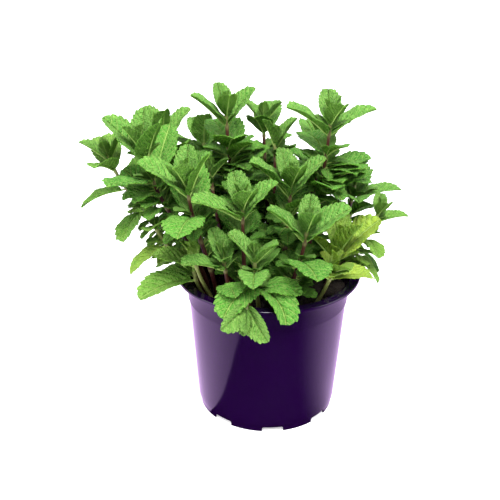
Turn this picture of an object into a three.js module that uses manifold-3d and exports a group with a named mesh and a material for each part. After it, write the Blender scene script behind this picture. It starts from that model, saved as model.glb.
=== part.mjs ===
// A potted mint plant: a thin plastic nursery pot with a collar and a notched foot, the soil that
// fills it, and twenty-seven square-stemmed shoots. Each shoot carries crossed pairs of toothed
// leaves, and is one solid, because its leaves grow from its stem.
// Millimetres, +Z up. The origin is the middle of the pot's base, and the side seen first faces -Y.
import * as THREE from "three";
import { mergeVertices } from "three/addons/utils/BufferGeometryUtils.js";
import Module from "manifold-3d";

const wasm = await Module();
wasm.setup();

const TAU = 2 * Math.PI;
const rad = THREE.MathUtils.degToRad;
const { cos, sin, min, max, abs, hypot, floor, round } = Math;

// ---- The pot ----
const POT_HEIGHT = 105;
const RIM_RADIUS = 65; // outside of the lip: a 13 cm pot
const BASE_RADIUS = 49.5;
const NECK_RADIUS = 56; // of the wall just under the collar
const COLLAR_STEP = 0.6; // how far the collar's foot stands out of the neck
const COLLAR_RADIUS = 59; // of the collar just under the lip
const COLLAR_HEIGHT = 20;
const LIP_HEIGHT = 2.4; // of the flat lip's turned-down edge
const WALL = 1.2;
const FOOT_HEIGHT = 6; // from the surface to the underside of the floor
const FOOT_STEP = 0.7; // how far the foot is set in from the wall above it
const FOOT_NOTCHES = 8;
const NOTCH_WIDTH = 15;
const NOTCH_HEIGHT = 3.4;
const NOTCH_TURN = -85; // degrees from +X to the first notch
const DRAIN_RADIUS = 4;
const DRAIN_RING = 38;
const CENTRE_FOOT_RADIUS = 9; // a flat foot under the middle of the floor
const POT_SIDES = 32;

// ---- The soil ----
const SOIL_DEPTH_BELOW_RIM = 14;
const SOIL_TOP = POT_HEIGHT - SOIL_DEPTH_BELOW_RIM;
const SOIL_ROUGHNESS = 1.1; // height of its swells
const SOIL_RINGS = [0.7, 0.35]; // shares of the surface's radius that have a ring of points
const SOIL_SIDES = 20;
const SEAT_GAP = 0.3; // between soil and pot, and between stem and soil
const ROOT_DEPTH = 16; // how far a stem stands in the soil

// ---- Stems ----
const STEM_WIDTH_LOW = 3.4; // across the flats of the square stem, at the soil
const STEM_WIDTH_TIP = 1.9;
const STEM_STEPS = 6;
const HOLE_STEPS = 3; // of them, that the hole in the soil follows
const RISE_LOW = 0.42; // share of the height over which a stem holds its direction at each end
const RISE_TIP = 0.42;
const LEAN_LOW = 0.05; // share of the sideways reach spent at each end
const LEAN_TIP = 0.2;
const CURVE_SAMPLES = 60;
// A shoot whose tip hangs outside the rim first rises over it.
const CREST_LOW = 124; // height of the curve's handle over the soil
const CREST_TIP = 116; // and of the one before the tip
const CREST_REACH = 0.3; // share of the sideways reach that is left after the crest

// ---- Leaves ----
const LEAF_THICKNESS = 0.7;
const LEAF_ASPECT = 0.37; // half the width over the length
const WIDEST_AT = 0.92; // exponent that puts the widest place towards the base
const OUTLINE_FULLNESS = 0.5; // exponent that rounds the outline
const NOTCH_SHARE = 0.88; // half width at a notch, as a share of that at a tooth
const LAST_NOTCH = 0.88; // share of the length where the last notch lies
const TOOTH_LEAN = 0.3; // how far a tooth's point lies behind the notch after it, in teeth
const PETIOLE_HALF_WIDTH = 0.9;
const MIDRIB_STATIONS = [0, 0.5];
const LIGHT_PULL = 0.45; // how far a blade turns its face up from square to its stem
const HANGING_PULL = 0.9; // how far a blade over the rim turns its face outwards
// Per pair of leaves, from the bud at the tip down the stem:
const PAIR_DROPS = [2, 5, 12, 27, 47, 72]; // mm of stem above the pair
const PAIR_SIZES = [0.42, 0.7, 0.92, 1, 1.05, 1]; // share of the shoot's main leaf length
const PAIR_ANGLES = [12, 30, 44, 60, 75, 88]; // degrees between the stem and the leaf
const PAIR_ARCHES = [6, 16, 26, 34, 42, 50]; // degrees that a blade bends back along its length
const PAIR_FOLDS = [40, 32, 24, 16, 12, 10]; // degrees that each half rises from the midrib
const SMALLEST_DETAIL = 0.02; // mm: slivers where a leaf meets its stem are merged below this
const PAIR_PETIOLES = [1.6, 2.2, 3, 4, 5, 5];
const TURN_SPREAD = 9; // degrees either way, drawn for each leaf
const ANGLE_SPREAD = 7;
const SIZE_SPREAD = 0.09;

// ---- Shoots. Each row: a name, where it stands in the soil, where its tip is, which way its third
// pair points (degrees from +X), how many pairs it has, how far apart they are as a share of
// PAIR_DROPS, the length of its main leaves, and how many degrees its lowest leaves hang ----
const SHOOTS = [
  ["front_low", [-6, -39], [-10, -51, 137], 80, 5, 1, 34, 30],
  ["over_rim", [-13, -49], [-15, -71, 109], 75, 2, 1, 37, 0],
  ["front_left", [-22, -36], [-30, -46, 135], 25, 4, 0.9, 33, 14],
  ["left_bottom", [-35, -27], [-50, -38, 132], 172, 3, 0.8, 32, 20],
  ["low_right", [36, -13], [48, -10, 125], 30, 3, 0.9, 46, -6],
  ["front_right", [10, -32], [24, -42, 155], 4, 5, 1, 37, -12],
  ["centre_front", [-16, -29], [-18, -36, 168], 12, 5, 1, 38, 4],
  ["mid_right", [9, -10], [14, -8, 173], 19, 5, 1, 38, 0],
  ["left_front", [-34, -22], [-54, -34, 182], 168, 6, 0.95, 40, -10],
  ["left_tall", [-40, -8], [-84, -16, 200], 150, 5, 1, 38, -28],
  ["right_tall", [26, 8], [40, 8, 212], 12, 6, 1, 38, 8],
  ["centre_back", [-18, 10], [-30, 16, 215], 18, 6, 1, 32, -14],
  ["left_rim", [-40, -20], [-51, -28, 116], 183, 3, 0.6, 42, 40],
  ["right_low", [29, -29], [42, -38, 124], 20, 3, 0.8, 32, 50],
  ["far_right", [38, 2], [77, 12, 144], 8, 4, 0.8, 25, 10],
  ["far_left", [-40, 6], [-110, 8, 185], 95, 5, 1, 32, 6],
  ["left_back", [-32, 16], [-75, 24, 197], 30, 6, 1, 34, 0],
  ["mid_back", [4, 12], [4, 27, 189], 110, 6, 1, 33, 0],
  ["back", [2, 36], [-4, 56, 197], 75, 6, 1, 31, 0],
  ["centre", [-25, -5], [-40, -2, 178], 35, 5, 1, 37, 8],
  ["right_mid", [40, 10], [60, 20, 161], 80, 5, 1, 35, 4],
  ["low_left", [-39, -12], [-80, -16, 151], 120, 4, 0.9, 30, 10],
  ["back_left", [-22, 32], [-48, 60, 179], 20, 5, 1, 37, 6],
  ["back_right", [22, 30], [39, 60, 182], 110, 5, 1, 37, 4],
  ["back_low", [-4, 40], [-8, 74, 141], 50, 4, 0.9, 36, 14],
  ["far_back_right", [36, 23], [68, 44, 151], 15, 5, 0.9, 35, 10],
  ["far_back_left", [-35, 21], [-79, 42, 155], 140, 4, 0.9, 34, 10],
].map(([name, root, tip, turn, pairs, spread, leaf, hang]) => (
  { name, root, tip, turn, pairs, spread, leaf, hang }
));

// A leaf that would cross another shoot is bent clear: these are tried in turn.
const BENDS = [
  { lift: 0, swing: 0, size: 1 },
  { lift: -10, swing: 0, size: 1 },
  { lift: 10, swing: 0, size: 1 },
  { lift: 0, swing: 13, size: 1 },
  { lift: 0, swing: -13, size: 1 },
  { lift: -18, swing: 8, size: 0.95 },
  { lift: 18, swing: -8, size: 0.95 },
  { lift: -8, swing: -22, size: 0.92 },
  { lift: 8, swing: 22, size: 0.92 },
  { lift: 0, swing: 0, size: 0.84 },
  { lift: -20, swing: -10, size: 0.84 },
  { lift: 20, swing: 10, size: 0.84 },
  { lift: -10, swing: 30, size: 0.78 },
  { lift: 10, swing: -30, size: 0.78 },
  { lift: -28, swing: 0, size: 0.72 },
  { lift: 28, swing: 0, size: 0.72 },
  { lift: 0, swing: 36, size: 0.66 },
  { lift: 0, swing: -36, size: 0.66 },
  { lift: -30, swing: 15, size: 0.58 },
  { lift: 30, swing: -15, size: 0.58 },
];
const CELL = 1.8; // mm, of the grid that holds what space each shoot has taken
const SAMPLE_STEP = 1.5;
const POT_CLEARANCE = 2;

const LEAF_GREEN = new THREE.MeshStandardMaterial({ color: 0x4f9a34, roughness: 0.55, metalness: 0 });
const POT_PURPLE = new THREE.MeshStandardMaterial({ color: 0x2f1550, roughness: 0.28, metalness: 0 });
const SOIL_BROWN = new THREE.MeshStandardMaterial({ color: 0x1d1511, roughness: 0.95, metalness: 0 });

// ---------------------------------------------------------------- solids and meshes

// A closed geometry as a manifold-3d solid, with its shared vertices merged.
function solidOf(geometry) {
  const plain = new THREE.BufferGeometry().setAttribute("position", geometry.getAttribute("position"));
  if (geometry.index) plain.setIndex(geometry.index);
  const merged = mergeVertices(plain, 1e-4);
  const corners = [];
  for (let i = 0; i < merged.index.count; i += 3) {
    const [a, b, c] = [0, 1, 2].map((k) => merged.index.getX(i + k));
    if (a !== b && b !== c && c !== a) corners.push(a, b, c);
  }
  return new wasm.Manifold(
    new wasm.Mesh({
      numProp: 3,
      vertProperties: Float32Array.from(merged.attributes.position.array),
      triVerts: Uint32Array.from(corners),
    }),
  );
}

// A solid as a named mesh.
function meshOf(solid, name, material) {
  const data = solid.getMesh();
  const positions = new Float32Array(data.numVert * 3);
  for (let i = 0; i < data.numVert; i++) {
    positions.set(data.vertProperties.subarray(i * data.numProp, i * data.numProp + 3), i * 3);
  }
  const geometry = new THREE.BufferGeometry()
    .setAttribute("position", new THREE.BufferAttribute(positions, 3))
    .setIndex(new THREE.BufferAttribute(data.triVerts, 1));
  geometry.computeVertexNormals();
  const mesh = new THREE.Mesh(geometry, material);
  mesh.name = name;
  return mesh;
}

// A profile of [radius, height] points turned about +Z.
function turned(profile, sides) {
  const points = profile.map(([r, z]) => new THREE.Vector2(r, z));
  return new THREE.LatheGeometry(points, sides).rotateX(Math.PI / 2);
}

// A geometry from a list of THREE.Vector3 and a list of triangles.
function facets(points, triangles) {
  return new THREE.BufferGeometry()
    .setAttribute("position", new THREE.Float32BufferAttribute(points.flatMap((p) => p.toArray()), 3))
    .setIndex(triangles.flat());
}

// ---------------------------------------------------------------- the pot and its soil

// The radius of the pot's outer wall at a height, without the lip.
function wallRadius(z) {
  const collarFoot = POT_HEIGHT - COLLAR_HEIGHT;
  if (z <= collarFoot) return BASE_RADIUS + ((NECK_RADIUS - BASE_RADIUS) * z) / collarFoot;
  const ledge = NECK_RADIUS + COLLAR_STEP;
  return ledge + ((COLLAR_RADIUS - ledge) * (z - collarFoot)) / COLLAR_HEIGHT;
}

function makePot() {
  const collarFoot = POT_HEIGHT - COLLAR_HEIGHT;
  const lipFoot = POT_HEIGHT - LIP_HEIGHT;
  const footOut = BASE_RADIUS - FOOT_STEP;
  const floorTop = FOOT_HEIGHT + WALL;
  const profile = [
    [0, 0],
    [CENTRE_FOOT_RADIUS, 0],
    [CENTRE_FOOT_RADIUS, FOOT_HEIGHT],
    [footOut - WALL, FOOT_HEIGHT],
    [footOut - WALL, 0],
    [footOut, 0],
    [footOut, FOOT_HEIGHT - 1],
    [wallRadius(FOOT_HEIGHT), FOOT_HEIGHT],
    [NECK_RADIUS, collarFoot],
    [NECK_RADIUS + COLLAR_STEP, collarFoot + COLLAR_STEP],
    [COLLAR_RADIUS, POT_HEIGHT - WALL],
    [RIM_RADIUS - WALL, POT_HEIGHT - WALL],
    [RIM_RADIUS - WALL, lipFoot],
    [RIM_RADIUS, lipFoot],
    [RIM_RADIUS, POT_HEIGHT - 0.5],
    [RIM_RADIUS - 0.6, POT_HEIGHT],
    [COLLAR_RADIUS + 0.4, POT_HEIGHT],
    [COLLAR_RADIUS - WALL, POT_HEIGHT - 1.6],
    [NECK_RADIUS + COLLAR_STEP - WALL, collarFoot + COLLAR_STEP],
    [wallRadius(floorTop) - WALL, floorTop],
    [0, floorTop],
  ];
  const cuts = [];
  for (let i = 0; i < FOOT_NOTCHES; i++) {
    const turn = rad(NOTCH_TURN) + (i * TAU) / FOOT_NOTCHES;
    const notch = new THREE.BoxGeometry(12, NOTCH_WIDTH, 2 * NOTCH_HEIGHT);
    notch.translate(BASE_RADIUS, 0, 0).rotateZ(turn);
    cuts.push(solidOf(notch));
    if (i % 2 === 1) continue;
    const drain = new THREE.CylinderGeometry(DRAIN_RADIUS, DRAIN_RADIUS, 4 * WALL, 8);
    drain.rotateX(Math.PI / 2).translate(DRAIN_RING, 0, FOOT_HEIGHT + WALL / 2).rotateZ(turn);
    cuts.push(solidOf(drain));
  }
  return solidOf(turned(profile, POT_SIDES)).subtract(wasm.Manifold.union(cuts));
}

// The height of the soil's rough surface.
function soilHeight(x, y) {
  const swell = sin(x * 0.11 + 0.6) * cos(y * 0.13 - 0.4) + 0.5 * sin(x * 0.31 + y * 0.27);
  return SOIL_TOP + SOIL_ROUGHNESS * swell;
}

function makeSoil(stemHoles) {
  const bottom = FOOT_HEIGHT + WALL + SEAT_GAP;
  const inset = WALL + SEAT_GAP;
  const edge = wallRadius(SOIL_TOP) - inset - 0.3;
  const profile = [
    [0, bottom],
    [wallRadius(bottom) - inset, bottom],
    [NECK_RADIUS - inset, POT_HEIGHT - COLLAR_HEIGHT],
    [edge, SOIL_TOP],
    ...SOIL_RINGS.map((share) => [share * edge, SOIL_TOP]),
    [0, SOIL_TOP],
  ];
  const geometry = turned(profile, SOIL_SIDES);
  const place = geometry.getAttribute("position");
  for (let i = 0; i < place.count; i++) {
    if (place.getZ(i) > SOIL_TOP - 1) place.setZ(i, soilHeight(place.getX(i), place.getY(i)));
  }
  return solidOf(geometry).subtract(wasm.Manifold.union(stemHoles));
}

// ---------------------------------------------------------------- stems

// A stem's centre line, and the frame at any length down from its tip.
function makeStem(shoot) {
  const foot = new THREE.Vector3(...shoot.root, SOIL_TOP - ROOT_DEPTH);
  const tip = new THREE.Vector3(...shoot.tip);
  const height = tip.z - foot.z;
  const [leanX, leanY] = [tip.x - foot.x, tip.y - foot.y];
  const hangs = hypot(tip.x, tip.y) > RIM_RADIUS && tip.z < CREST_TIP;
  const low = foot.clone().add(new THREE.Vector3(LEAN_LOW * leanX, LEAN_LOW * leanY, RISE_LOW * height));
  const high = tip.clone().sub(new THREE.Vector3(LEAN_TIP * leanX, LEAN_TIP * leanY, RISE_TIP * height));
  if (hangs) {
    low.z = CREST_LOW;
    high.set(tip.x - CREST_REACH * leanX, tip.y - CREST_REACH * leanY, CREST_TIP);
  }
  const curve = new THREE.CubicBezierCurve3(foot, low, high, tip);
  const lengths = [0];
  for (let i = 1; i <= CURVE_SAMPLES; i++) {
    const step = curve.getPoint(i / CURVE_SAMPLES).distanceTo(curve.getPoint((i - 1) / CURVE_SAMPLES));
    lengths.push(lengths[i - 1] + step);
  }
  const whole = lengths[CURVE_SAMPLES];

  // The curve's parameter at a length along it, from the foot.
  function parameterAt(length) {
    const wanted = min(max(length, 0), whole);
    let i = 1;
    while (i < CURVE_SAMPLES && lengths[i] < wanted) i++;
    const share = (wanted - lengths[i - 1]) / (lengths[i] - lengths[i - 1]);
    return (i - 1 + share) / CURVE_SAMPLES;
  }

  function frameAt(length) {
    const t = parameterAt(length);
    const along = curve.getTangent(t);
    const side = new THREE.Vector3(1, 0, 0).addScaledVector(along, -along.x).normalize();
    return { at: curve.getPoint(t), along, side, across: along.clone().cross(side) };
  }
  return { whole, hangs, frameAt };
}

// The first stretches of the square stem as a solid, wider all round by a margin.
function stemSolid(stem, margin, steps) {
  const points = [];
  const triangles = [];
  for (let i = 0; i <= steps; i++) {
    const share = i / STEM_STEPS;
    const { at, along, side, across } = stem.frameAt(share * stem.whole);
    if (i === 0) at.addScaledVector(along, -margin);
    const half = (STEM_WIDTH_LOW + (STEM_WIDTH_TIP - STEM_WIDTH_LOW) * share) / 2 + margin;
    for (const [a, b] of [[1, 1], [-1, 1], [-1, -1], [1, -1]]) {
      points.push(at.clone().addScaledVector(side, a * half).addScaledVector(across, b * half));
    }
  }
  for (let i = 0; i < steps; i++) {
    for (let k = 0; k < 4; k++) {
      const [a, b] = [4 * i + k, 4 * i + ((k + 1) % 4)];
      triangles.push([a, b, b + 4], [a, b + 4, a + 4]);
    }
  }
  const last = 4 * steps;
  triangles.push([0, 2, 1], [0, 3, 2], [last, last + 1, last + 2], [last, last + 2, last + 3]);
  return solidOf(facets(points, triangles));
}

// ---------------------------------------------------------------- leaves

// Half the width of a blade at a share of its length, without its teeth.
function halfWidth(leaf, share) {
  const full = leaf.length * LEAF_ASPECT * sin(Math.PI * share ** WIDEST_AT) ** OUTLINE_FULLNESS;
  return max(full, share < 0.5 ? PETIOLE_HALF_WIDTH : 0);
}

// A point of a leaf: a length along its midrib from the stem's axis, a place to the side, a height.
function leafPoint(leaf, length, aside, height) {
  const blade = max(length - leaf.petiole, 0);
  const bend = (leaf.arch * blade) / leaf.length;
  const reach = leaf.arch > 1e-6 ? (leaf.length * sin(bend)) / leaf.arch : blade;
  const sag = leaf.arch > 1e-6 ? (leaf.length * (1 - cos(bend))) / leaf.arch : 0;
  const rise = abs(aside) * sin(leaf.fold) + height;
  const ahead = min(length, leaf.petiole) + reach + sin(bend) * rise;
  const up = cos(bend) * rise - sag;
  return leaf.base
    .clone()
    .addScaledVector(leaf.out, ahead)
    .addScaledVector(leaf.face, up)
    .addScaledVector(leaf.side, aside * cos(leaf.fold));
}

// How many teeth each side of a leaf has.
function teethOf(leaf) {
  if (leaf.length > 29) return 3;
  return leaf.length > 17 ? 2 : 1;
}

// A toothed blade as a closed solid, running to a point on the stem's axis.
function leafSolid(leaf) {
  const teeth = teethOf(leaf);
  const half = LEAF_THICKNESS / 2;
  const points = [leaf.base.clone()];
  const triangles = [];
  const add = (share, aside, height) => {
    points.push(leafPoint(leaf, leaf.petiole + share * leaf.length, aside, height));
    return points.length - 1;
  };
  const pair = (share, aside) => ({ share, top: add(share, aside, half), under: add(share, aside, -half) });
  const single = (share, aside) => {
    const corner = add(share, aside, 0);
    return { share, top: corner, under: corner };
  };
  const tip = single(1, 0);
  const midrib = [...MIDRIB_STATIONS.map((share) => pair(share, 0)), tip];
  for (const sign of [1, -1]) {
    const put = (a, b, c) => {
      if (a !== b && b !== c && c !== a) triangles.push(sign > 0 ? [a, b, c] : [a, c, b]);
    };
    const putBoth = (a, b, c) => {
      put(a.top, b.top, c.top);
      put(a.under, c.under, b.under);
    };
    const notches = [single(0, sign * PETIOLE_HALF_WIDTH)];
    for (let i = 1; i <= teeth; i++) {
      const share = (LAST_NOTCH * i) / teeth;
      const toothShare = share - (TOOTH_LEAN * LAST_NOTCH) / teeth;
      const before = notches[i - 1];
      const notch = pair(share, sign * NOTCH_SHARE * halfWidth(leaf, share));
      const tooth = single(toothShare, sign * halfWidth(leaf, toothShare));
      putBoth(before, tooth, notch);
      put(before.top, before.under, tooth.top);
      put(notch.under, notch.top, tooth.top);
      notches.push(notch);
    }
    notches.push(tip);
    put(notches[teeth].top, notches[teeth].under, tip.top);
    // The blade between the row of notches and the midrib, always from the row that is behind.
    let [i, j] = [0, 0];
    while (i < teeth || j < midrib.length - 2) {
      const edgeIsNext = i < teeth && (j === midrib.length - 2 || notches[i + 1].share <= midrib[j + 1].share);
      putBoth(midrib[j], notches[i], edgeIsNext ? notches[i + 1] : midrib[j + 1]);
      if (edgeIsNext) i++;
      else j++;
    }
    putBoth(midrib[j], notches[i], tip);
    const axis = { top: 0, under: 0 };
    putBoth(axis, notches[0], midrib[0]);
  }
  return solidOf(facets(points, triangles));
}

// ---------------------------------------------------------------- growth

// A repeatable stream of draws between 0 and 1.
function makeDice(seed) {
  let state = (seed * 2654435 + 12345) % 4294967296;
  return () => {
    state = (state * 1664525 + 1013904223) % 4294967296;
    return state / 4294967296;
  };
}

// The leaf of one side of one pair, bent from its natural place.
function makeLeaf(shoot, stem, level, draws, flip, bend) {
  const { at, along, side, across } = stem.frameAt(stem.whole - shoot.spread * PAIR_DROPS[level]);
  const turn = rad(shoot.turn + 90 * (2 - level) + 180 * flip + draws.turn + bend.swing);
  const hang = (shoot.hang * level) / (PAIR_DROPS.length - 1);
  const angle = rad(PAIR_ANGLES[level] + draws.angle + hang + bend.lift);
  const radial = side.clone().multiplyScalar(cos(turn)).addScaledVector(across, sin(turn));
  const out = along.clone().multiplyScalar(cos(angle)).addScaledVector(radial, sin(angle));
  const square = along.clone().multiplyScalar(sin(angle)).addScaledVector(radial, -cos(angle));
  const light = stem.hangs ? new THREE.Vector3(at.x, at.y, 0).normalize() : new THREE.Vector3(0, 0, 1);
  const pull = stem.hangs ? HANGING_PULL : LIGHT_PULL;
  const face = square.multiplyScalar(1 - pull).addScaledVector(light, pull);
  face.addScaledVector(out, -face.dot(out)).normalize();
  return {
    base: at,
    out,
    face,
    side: out.clone().cross(face),
    length: shoot.leaf * PAIR_SIZES[level] * draws.size * bend.size,
    petiole: PAIR_PETIOLES[level],
    arch: rad(PAIR_ARCHES[level] + hang),
    fold: rad(PAIR_FOLDS[level]),
  };
}

// Points all over a leaf's blade, close enough together to feel what it would cross.
function leafSamples(leaf) {
  const samples = [];
  const steps = max(3, round(leaf.length / SAMPLE_STEP));
  for (let i = 0; i <= steps; i++) {
    const share = i / steps;
    const half = halfWidth(leaf, min(share, 0.995));
    const rows = max(1, round(half / SAMPLE_STEP));
    for (let j = -rows; j <= rows; j++) {
      samples.push(leafPoint(leaf, leaf.petiole + share * leaf.length, (half * j) / rows, 0));
    }
  }
  return samples;
}

const cellOf = (p) => [floor(p.x / CELL), floor(p.y / CELL), floor(p.z / CELL)];
const keyOf = (i, j, k) => (i + 500) * 1000000 + (j + 500) * 1000 + (k + 500);
const taken = new Map(); // cell to the set of shoots near it, one bit each

function take(samples, owner, reach) {
  const cells = new Set(samples.map((p) => keyOf(...cellOf(p))));
  for (const cell of cells) {
    for (let i = -reach; i <= reach; i++) {
      for (let j = -reach; j <= reach; j++) {
        for (let k = -reach; k <= reach; k++) {
          const key = cell + i * 1000000 + j * 1000 + k;
          taken.set(key, (taken.get(key) ?? 0) | (1 << owner));
        }
      }
    }
  }
}

// True where a point is in the pot's wall, in the soil or too close to either.
function meetsPot(p) {
  if (p.z > POT_HEIGHT + POT_CLEARANCE) return false;
  const reach = hypot(p.x, p.y);
  const outside = p.z > POT_HEIGHT - LIP_HEIGHT - POT_CLEARANCE ? RIM_RADIUS : wallRadius(p.z);
  const inside = wallRadius(p.z) - WALL;
  if (reach > outside + POT_CLEARANCE) return false;
  return reach > inside - POT_CLEARANCE || p.z < SOIL_TOP + 2 * POT_CLEARANCE;
}

function isClear(samples, owner) {
  return samples.every((p) => {
    const others = (taken.get(keyOf(...cellOf(p))) ?? 0) & ~(1 << owner);
    return others === 0 && !meetsPot(p);
  });
}

function growShoots() {
  const stems = SHOOTS.map(makeStem);
  stems.forEach((stem, owner) => {
    const samples = [];
    for (let length = 0; length <= stem.whole; length += SAMPLE_STEP) samples.push(stem.frameAt(length).at);
    take(samples, owner, 2);
  });
  return SHOOTS.map((shoot, owner) => {
    const dice = makeDice(owner + 1);
    const leaves = [];
    for (let level = 0; level < shoot.pairs; level++) {
      for (let flip = 0; flip < 2; flip++) {
        const draws = {
          turn: TURN_SPREAD * (2 * dice() - 1),
          angle: ANGLE_SPREAD * (2 * dice() - 1),
          size: 1 + SIZE_SPREAD * (2 * dice() - 1),
        };
        for (const bend of BENDS) {
          const leaf = makeLeaf(shoot, stems[owner], level, draws, flip, bend);
          const samples = leafSamples(leaf);
          if (!isClear(samples, owner)) continue;
          take(samples, owner, 1);
          leaves.push(leaf);
          break;
        }
      }
    }
    return { shoot, stem: stems[owner], leaves };
  });
}

// ---------------------------------------------------------------- the plant in its pot

const plant = growShoots();
const group = new THREE.Group();
group.name = "potted_mint";
group.add(meshOf(makePot(), "pot", POT_PURPLE));
const stemHoles = plant.map(({ stem }) => stemSolid(stem, SEAT_GAP, HOLE_STEPS));
group.add(meshOf(makeSoil(stemHoles), "soil", SOIL_BROWN));
for (const { shoot, stem, leaves } of plant) {
  const parts = [stemSolid(stem, 0, STEM_STEPS), ...leaves.map(leafSolid)];
  const grown = wasm.Manifold.union(parts).simplify(SMALLEST_DETAIL);
  group.add(meshOf(grown, "leafy_stem_" + shoot.name, LEAF_GREEN));
}

export default group;
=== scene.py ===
# %% [markdown]
# # A potted mint plant
# This lesson dresses a mint plant in its nursery pot. The frame holds every piece at its real size as
# plain faceted solids: the pot, the soil, and each leafy stem as one body. Here each of them gets a finer
# piece in the same place: a moulded pot with rounded edges, crumbly soil, and stems whose leaves have
# teeth, veins and a puckered blade. First the frame is loaded.

# %% Load the frame
import math
import random

import bpy
import numpy as np
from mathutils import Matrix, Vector


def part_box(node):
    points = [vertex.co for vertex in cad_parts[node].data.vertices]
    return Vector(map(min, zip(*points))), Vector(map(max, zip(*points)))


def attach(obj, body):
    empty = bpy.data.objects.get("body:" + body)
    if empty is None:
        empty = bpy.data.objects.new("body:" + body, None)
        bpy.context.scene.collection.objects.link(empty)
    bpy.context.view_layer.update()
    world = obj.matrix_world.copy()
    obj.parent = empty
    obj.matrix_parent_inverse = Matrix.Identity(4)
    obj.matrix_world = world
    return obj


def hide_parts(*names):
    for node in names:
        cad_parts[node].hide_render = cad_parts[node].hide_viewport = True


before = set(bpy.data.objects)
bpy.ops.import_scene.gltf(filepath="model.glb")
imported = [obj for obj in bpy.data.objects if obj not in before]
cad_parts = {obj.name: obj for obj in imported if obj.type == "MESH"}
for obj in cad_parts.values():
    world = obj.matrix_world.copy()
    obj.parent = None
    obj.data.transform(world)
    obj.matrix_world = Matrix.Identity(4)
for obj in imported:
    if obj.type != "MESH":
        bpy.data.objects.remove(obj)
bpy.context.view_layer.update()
MM = 0.001

# %% [markdown]
# ## The camera
# A long lens from a little above shows the tops of the leaves and the front of the pot at once. A camera
# in Blender looks down its own -Z axis, so turning it by 90 degrees about X makes it look level, and
# taking the pitch off that turn makes it look down.

# %% Camera
CAMERA_PLACE = Vector((-0.01296, -0.600, 0.3992))
CAMERA_PITCH = 0.437  # radians below level
CAMERA_ROLL = 0.0094
LENS_MM = 68.0

bpy.ops.object.camera_add(location=CAMERA_PLACE)
camera = bpy.context.object
camera.name = "viewpoint"
camera.rotation_mode = "ZYX"
camera.rotation_euler = (math.pi / 2 - CAMERA_PITCH, 0, CAMERA_ROLL)
camera.data.lens = LENS_MM
camera.data.sensor_width = 36
camera.data.clip_start = 0.01
bpy.context.scene.camera = camera
print("camera", tuple(round(v, 3) for v in camera.location))

# %% [markdown]
# ## Helpers for materials
# A material is a small graph of nodes. These helpers add a node, link it, and do sums, so that each
# material below reads as a recipe.


# %% Material helpers
def new_material(name):
    """A material with its shader node, and its tree to add to."""
    material = bpy.data.materials.new(name)
    material.use_nodes = True
    tree = material.node_tree
    return material, tree, tree.nodes["Principled BSDF"]


def feed(tree, made, inputs):
    """Fills a node's inputs: with values, or with links to other nodes' outputs."""
    for name, value in inputs.items():
        if isinstance(value, bpy.types.NodeSocket):
            tree.links.new(value, made.inputs[name])
        else:
            made.inputs[name].default_value = value


def node(tree, kind, inputs=None, **settings):
    """A node of a kind, with its settings and inputs."""
    made = tree.nodes.new("ShaderNode" + kind)
    for name, value in settings.items():
        setattr(made, name, value)
    feed(tree, made, inputs or {})
    return made


def math_of(tree, operation, *values, clamp=False):
    """The output of a Math node on values or outputs."""
    inputs = dict(enumerate(values))
    return node(tree, "Math", inputs, operation=operation, use_clamp=clamp).outputs[0]


def fade(tree, value, low, high):
    """1 where value is under low, 0 where it is over high, and smooth between."""
    inputs = {"Value": value, "From Min": low, "From Max": high, "To Min": 1.0, "To Max": 0.0}
    return node(tree, "MapRange", inputs, interpolation_type="SMOOTHSTEP").outputs["Result"]


def blend_colours(tree, factor, first, second):
    """The first colour where factor is 0, the second where it is 1."""
    inputs = {0: factor, 6: first, 7: second}
    return node(tree, "Mix", inputs, data_type="RGBA").outputs[2]


def object_place(tree):
    """Where a point lies on the object, in metres."""
    return node(tree, "TexCoord").outputs["Object"]


def noise(tree, scale, detail=3.0, vector=None):
    """Soft blotches, about one over scale metres across."""
    inputs = {"Scale": scale, "Detail": detail, "Vector": vector or object_place(tree)}
    return node(tree, "TexNoise", inputs).outputs["Fac"]


def bump(tree, height, distance, strength=1.0):
    """A normal that is tilted as a relief of this height would tilt it."""
    inputs = {"Height": height, "Distance": distance, "Strength": strength}
    return node(tree, "Bump", inputs).outputs["Normal"]


print("material helpers:", [h.__name__ for h in (feed, node, math_of, fade, noise, bump)])

# %% [markdown]
# ## Floor and light
# The plant stands on a wide white floor in a bright room. A broad lamp above and a little in front gives the
# leaves their shading, two weaker ones fill from the sides and from behind, and the floor glows a little, as
# the white acrylic of a light table does, so that hardly any shadow lies on it.
#
# The glossy wall leans, so what it mirrors is always the table, never the lamps. A white table would lay a
# grey veil over its dark front, so the floor is hidden from mirror rays, and two pale sheets just under it
# stand in for the parts of the table that do show: a wide one at the left and one that fades in at the right.


# %% Floor and lamps
def deselect_all():
    """Leaves edit mode, with nothing selected."""
    if bpy.context.mode != "OBJECT":
        bpy.ops.object.mode_set(mode="OBJECT")
    bpy.ops.object.select_all(action="DESELECT")


def select_only(pieces):
    """Selects these pieces and nothing else, with the first of them active."""
    deselect_all()
    for piece in pieces:
        piece.select_set(True)
    bpy.context.view_layer.objects.active = pieces[0]


PLANT_MIDDLE = Vector((-0.01, 0, 0.12))


def area_light(name, place, size, watts):
    """A soft rectangular light at a place, turned to face the plant."""
    bpy.ops.object.light_add(type="AREA", location=place)
    lamp = bpy.context.object
    lamp.name = name
    lamp.data.shape = "RECTANGLE"
    lamp.data.size, lamp.data.size_y = size
    lamp.data.energy = watts
    lamp.rotation_mode = "QUATERNION"
    lamp.rotation_quaternion = (PLANT_MIDDLE - Vector(place)).to_track_quat("-Z", "Y")


deselect_all()
bpy.ops.mesh.primitive_plane_add(size=12, location=(0, 0, 0))
floor = bpy.context.object
floor.name = "floor"
floor.visible_glossy = False

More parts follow.
